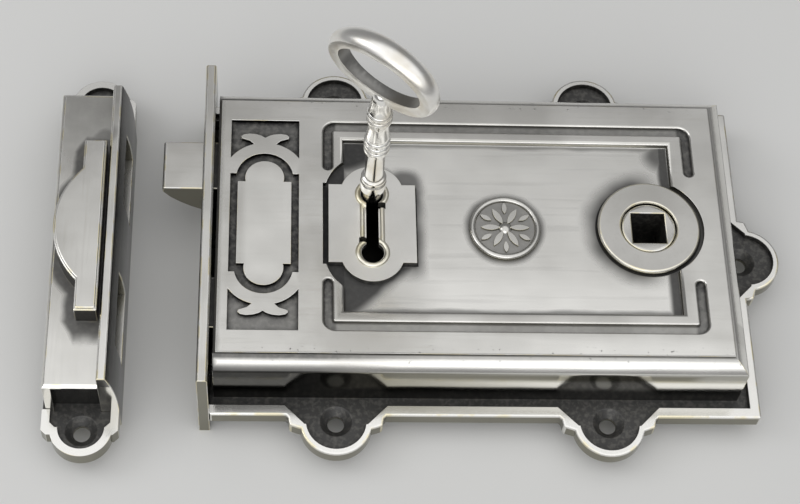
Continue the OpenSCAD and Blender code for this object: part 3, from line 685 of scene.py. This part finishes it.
def turned_copy(node, name, outline):
    """Turned stand-in of the key's shank: a half outline, spun round the key's axis."""
    bm = bmesh.new()
    made = []
    for radius, height in outline:
        made += bmesh.ops.create_vert(bm, co=(radius * MM, 0.0, height * MM))["vert"]
    for pair in zip(made, made[1:]):
        bmesh.ops.contextual_create(bm, geom=list(pair))
    bmesh.ops.spin(
        bm, geom=bm.verts[:] + bm.edges[:], cent=ORIGIN, axis=UP, dvec=ORIGIN,
        angle=math.tau, steps=SHANK_STEPS, use_merge=True,
    )
    bmesh.ops.remove_doubles(bm, verts=bm.verts, dist=MERGE)
    bmesh.ops.translate(bm, verts=bm.verts, vec=(KEYHOLE_X * MM, KEY_Y * MM, 0.0))
    bmesh.ops.recalc_face_normals(bm, faces=bm.faces)
    return stand_in(bm, node, name, False)


def rub_above(piece, height):
    """Marks the faces above a height, in millimetres, as rubbed bright."""
    rubbed = piece.data.attributes["worn_edge"].data
    for face in piece.data.polygons:
        if face.center.z > height * MM:
            rubbed[face.index].value = 1.0


def slot_of(node):
    """Material slot that the record gives a node."""
    return next(part["material_slot"] for part in frame["record"]["subparts"] if part["node"] == node)


def paint(thing, material):
    """Gives an object one material."""
    thing.data.materials.clear()
    thing.data.materials.append(material)


class LockFinish(bpy.types.PropertyGroup):
    """Colours and surface of the lock's metals"""

    plate_light: bpy.props.FloatVectorProperty(
        name="Plate light", description="Brightest plate colour",
        subtype="COLOR", default=(0.71, 0.7, 0.67),
    )
    plate_deep: bpy.props.FloatVectorProperty(
        name="Plate deep", description="Clouded plate colour",
        subtype="COLOR", default=(0.57, 0.56, 0.53),
    )
    plate_streak: bpy.props.FloatVectorProperty(
        name="Plate streak", description="Colour of fine streaks",
        subtype="COLOR", default=(0.48, 0.46, 0.41),
    )
    # Colour of the upright sides: a painted dark reflection.
    side_dark_reflection: bpy.props.FloatVectorProperty(
        name="Side dark reflection", description="Dark mirror of the upright sides",
        subtype="COLOR", default=(0.22, 0.21, 0.16),
    )
    # Polished edges; also the colour of the painted highlights on the cover.
    edge_light: bpy.props.FloatVectorProperty(
        name="Edge light", description="Polished edges",
        subtype="COLOR", default=(0.92, 0.91, 0.875),
    )
    brass_edge: bpy.props.FloatVectorProperty(
        name="Rubbed edge", description="Brass that shows on rubbed edges",
        subtype="COLOR", default=(0.9, 0.83, 0.6),
    )
    # Patina colours, which also paint the shade and shadows.
    shade_and_patina_black: bpy.props.FloatVectorProperty(
        name="Patina and shade black", description="Darkest patina",
        subtype="COLOR", default=(0.012, 0.012, 0.013),
    )
    shade_and_patina_grey: bpy.props.FloatVectorProperty(
        name="Patina and shade grey", description="Lighter patina",
        subtype="COLOR", default=(0.09, 0.087, 0.08),
    )
    key_light: bpy.props.FloatVectorProperty(
        name="Key light", description="Bright key metal",
        subtype="COLOR", default=(0.95, 0.94, 0.91),
    )
    key_warm: bpy.props.FloatVectorProperty(
        name="Key warm", description="Warm key tarnish",
        subtype="COLOR", default=(0.8, 0.76, 0.68),
    )
    plate_roughness: bpy.props.FloatProperty(
        name="Plate roughness", description="Mean roughness of the plate",
        default=0.22, min=0.05, max=0.8,
    )
    key_roughness: bpy.props.FloatProperty(
        name="Key roughness", description="Mean roughness of the key",
        default=0.17, min=0.02, max=0.6,
    )
    edge_width: bpy.props.FloatProperty(
        name="Edge easing", description="Width of the rounded edges",
        subtype="DISTANCE", default=0.4 * MM, min=0.0,
    )
    rim_width: bpy.props.FloatProperty(
        name="Rim easing", description="Width of the black inner slope of the flange rims",
        subtype="DISTANCE", default=0.9 * MM, min=0.0,
    )


class LockStage(bpy.types.PropertyGroup):
    """Floor, lamps and sky of the studio"""

    floor_color: bpy.props.FloatVectorProperty(
        name="Floor", description="Colour of the floor",
        subtype="COLOR", default=(0.7, 0.7, 0.69),
    )
    zenith: bpy.props.FloatProperty(
        name="Zenith", description="Light of the sky overhead and in front",
        default=1.05, min=0.0, max=2.0,
    )
    horizon: bpy.props.FloatProperty(
        name="Horizon", description="Light of the sky low behind the lock",
        default=0.22, min=0.0, max=2.0,
    )
    lamp_power: bpy.props.FloatProperty(
        name="Lamp power", description="Power of the front soft box",
        subtype="POWER", default=2.3, min=0.0,
    )


def stage_camera():
    """Camera of the photograph."""
    look = Vector(CAMERA_LOOK).normalized()
    right = Vector(CAMERA_RIGHT)
    right = (right - look * right.dot(look)).normalized()
    up = right.cross(look)
    data = bpy.data.cameras.new("camera")
    data.sensor_width = SENSOR_MM
    data.lens = CAMERA_FOCAL_PX / PHOTO_WIDTH * SENSOR_MM
    data.clip_start, data.clip_end = 0.01, 20.0
    camera = bpy.data.objects.new("camera", data)
    axes = Matrix((right, up, -look)).transposed()
    camera.matrix_world = Matrix.Translation(Vector(CAMERA_AT) * MM) @ axes.to_4x4()
    bpy.context.scene.collection.objects.link(camera)
    bpy.context.scene.camera = camera


def stage_floor(color):
    """Plain pale floor, a hair below the lock."""
    bm = bmesh.new()
    bmesh.ops.create_grid(bm, x_segments=1, y_segments=1, size=FLOOR_HALF)
    bmesh.ops.translate(bm, verts=bm.verts, vec=(0.0, 0.0, CAD_LOW.z - FLOOR_GAP))
    mesh = bpy.data.meshes.new("floor")
    bm.to_mesh(mesh)
    bm.free()
    floor = bpy.data.objects.new("floor", mesh)
    bpy.context.scene.collection.objects.link(floor)
    material, graph = new_material("pale_floor")
    values = {"Base Color": color, "Roughness": FLOOR_ROUGHNESS}
    shader = graph.node("ShaderNodeBsdfPrincipled", None, values)
    graph.node("ShaderNodeOutputMaterial", None, {"Surface": shader})
    paint(floor, material)


def stage_sky(zenith, horizon):
    """Soft sky, brightest overhead and in front, dark low behind the lock."""
    world = bpy.data.worlds.new("studio")
    world.use_nodes = True
    graph = Graph(world.node_tree)
    lit = graph.toward(graph.node("ShaderNodeTexCoord", output="Generated"), SKY_AXIS)
    light = horizon + graph.ramp(lit, SKY_DARK_BELOW, SKY_BRIGHT_ABOVE) * (zenith - horizon)
    sky = graph.node("ShaderNodeBackground", None, {"Color": (1.0, 1.0, 1.0), "Strength": light})
    graph.node("ShaderNodeOutputWorld", None, {"Surface": sky})
    bpy.context.scene.world = world


def stage_lamp(name, at, power, size):
    """Soft box aimed at the lock."""
    data = bpy.data.lights.new(name, "AREA")
    data.energy = power
    data.shape = "RECTANGLE"
    data.size, data.size_y = size
    lamp = bpy.data.objects.new(name, data)
    lamp.location = at
    lamp.rotation_mode = "QUATERNION"
    lamp.rotation_quaternion = (-Vector(at)).to_track_quat("-Z", "Y")
    bpy.context.scene.collection.objects.link(lamp)


class LOCK_OT_stage(bpy.types.Operator):
    """Sets up the camera of the photograph, the floor, the sky and the lamps"""

    bl_idname = "lock.stage"
    bl_label = "Studio stage"

    def execute(self, context):
        stage = context.scene.lock_stage
        context.scene.view_settings.view_transform = "Standard"
        stage_camera()
        stage_floor(stage.floor_color[:])
        stage_sky(stage.zenith, stage.horizon)
        stage_lamp("front_box", FRONT_BOX_AT, stage.lamp_power, FRONT_BOX_SIZE)
        stage_lamp("left_box", LEFT_BOX_AT, stage.lamp_power * LEFT_BOX_SHARE, LEFT_BOX_SIZE)
        return {"FINISHED"}


class LOCK_OT_case(bpy.types.Operator):
    """Eases and blackens the two case castings and the forend"""

    bl_idname = "lock.case"
    bl_label = "Case castings"

    def execute(self, context):
        finish = context.scene.lock_finish
        width = finish.edge_width
        cover = eased_copy("case_cover", "cover_casting", width)
        paint(cover, plate("cover_plate", finish, cover_dark, cover_painted_highlights, ALONG_CASE))
        broad = width * FLANGE_SHARE
        flange = eased_copy("base_plate", "flange_casting", broad, flange_soot, finish.rim_width)
        paint(flange, plate("flange_plate", finish, light=rim_light))
        forend = eased_copy("forend", "forend_plate", width)
        paint(forend, plate("forend_metal", finish, forend_dark, streak=ALONG_FOREND))
        return {"FINISHED"}


class LOCK_OT_trim(bpy.types.Operator):
    """Finishes the escutcheon, the rose and the medallion"""

    bl_idname = "lock.trim"
    bl_label = "Face trim"

    def execute(self, context):
        finish = context.scene.lock_finish
        width = finish.edge_width * TRIM_SHARE
        flat = plate("trim_plate", finish, light=trim_light, warm=0.5, corner=0.2, matt=0.1)
        shield = eased_copy("keyhole_escutcheon", "escutcheon_plate", width, upright_gap_shade)
        rub_above(shield, FACE_Z + 0.2)
        paint(shield, flat)
        rose = plate("rose_plate", finish, warm=0.5, corner=0.2, matt=0.1)
        paint(eased_copy("spindle_rose", "rose_ring", width), rose)
        medal = plate("medallion_plate", finish, warm=1.0, corner=1.0)
        paint(eased_copy("medallion", "medallion_disc", width, medallion_soot), medal)
        return {"FINISHED"}


class LOCK_OT_bolts(bpy.types.Operator):
    """Finishes the latch, the dead bolt and the follower"""

    bl_idname = "lock.bolts"
    bl_label = "Bolts and follower"

    def execute(self, context):
        finish = context.scene.lock_finish
        metal = plate("bolt_metal", finish, bolt_dark, streak=ALONG_CASE)
        pieces = {"latch_head": "latch_bolt", "bolt_head": "dead_bolt_block"}
        for node, name in pieces.items():
            paint(eased_copy(node, name, finish.edge_width), metal)
        hub = plate("follower_metal", finish)
        paint(eased_copy("follower", "follower_hub", finish.edge_width, upright_gap_shade, split=True), hub)
        return {"FINISHED"}


class LOCK_OT_key(bpy.types.Operator):
    """Finishes the key"""

    bl_idname = "lock.key"
    bl_label = "Key"

    def execute(self, context):
        finish = context.scene.lock_finish
        width = finish.edge_width * KEY_SHARE
        metal = key_metal("key_bright", finish)
        satin = key_metal("bow_satin", finish, 0.14)
        paint(eased_copy("key_bow", "bow_ring", width, bow_inner_reflection, bend=BOW_BEND, flat=False), satin)
        paint(turned_copy("key_shank", "turned_shank", shank_outline()), metal)
        paint(eased_copy("key_bit", "bit_blade", width), metal)
        return {"FINISHED"}


class LOCK_OT_keep(bpy.types.Operator):
    """Finishes the keep"""

    bl_idname = "lock.keep"
    bl_label = "Keep"

    def execute(self, context):
        finish = context.scene.lock_finish
        width = finish.edge_width
        broad = width * FLANGE_SHARE
        foot = eased_copy("keep_base", "keep_foot", broad, flange_soot, finish.rim_width)
        paint(foot, plate("keep_foot_plate", finish, light=rim_light))
        metal = plate("keep_plate", finish, keep_dark, keep_light, ALONG_FOREND)
        paint(eased_copy("keep_box", "keep_housing", width, keep_recess_shade), metal)
        paint(eased_copy("keep_striker", "striking_plate", width), metal)
        paint(eased_copy("keep_cap", "keep_hood", width), metal)
        return {"FINISHED"}


class LOCK_OT_works(bpy.types.Operator):
    """Gives the hidden works, springs and screws their metals"""

    bl_idname = "lock.works"
    bl_label = "Hidden works"

    def execute(self, context):
        metals = {slot: works_metal(*look) for slot, look in WORKS_METALS.items()}
        for node, thing in frame["nodes"].items():
            if not thing.hide_render:
                paint(thing, metals[slot_of(node)])
        return {"FINISHED"}


class LOCK_PT_sidebar(bpy.types.Panel):
    """Lists the steps that dress the lock"""

    bl_idname = "LOCK_PT_sidebar"
    bl_label = "Rim box lock"
    bl_space_type = "VIEW_3D"
    bl_region_type = "UI"
    bl_category = "Lock"

    def draw(self, context):
        for step in STEPS:
            self.layout.operator(step.bl_idname)


STEPS = (LOCK_OT_stage, LOCK_OT_case, LOCK_OT_trim, LOCK_OT_bolts, LOCK_OT_key, LOCK_OT_keep, LOCK_OT_works)
CLASSES = (LockFinish, LockStage, *STEPS, LOCK_PT_sidebar)


def register():
    for each in CLASSES:
        bpy.utils.register_class(each)
    bpy.types.Scene.lock_finish = bpy.props.PointerProperty(type=LockFinish)
    bpy.types.Scene.lock_stage = bpy.props.PointerProperty(type=LockStage)


def unregister():
    del bpy.types.Scene.lock_stage
    del bpy.types.Scene.lock_finish
    for each in reversed(CLASSES):
        bpy.utils.unregister_class(each)


def main():
    register()
    for step in STEPS:
        group, action = step.bl_idname.split(".")
        getattr(getattr(bpy.ops, group), action)()


if __name__ == "__main__":
    main()
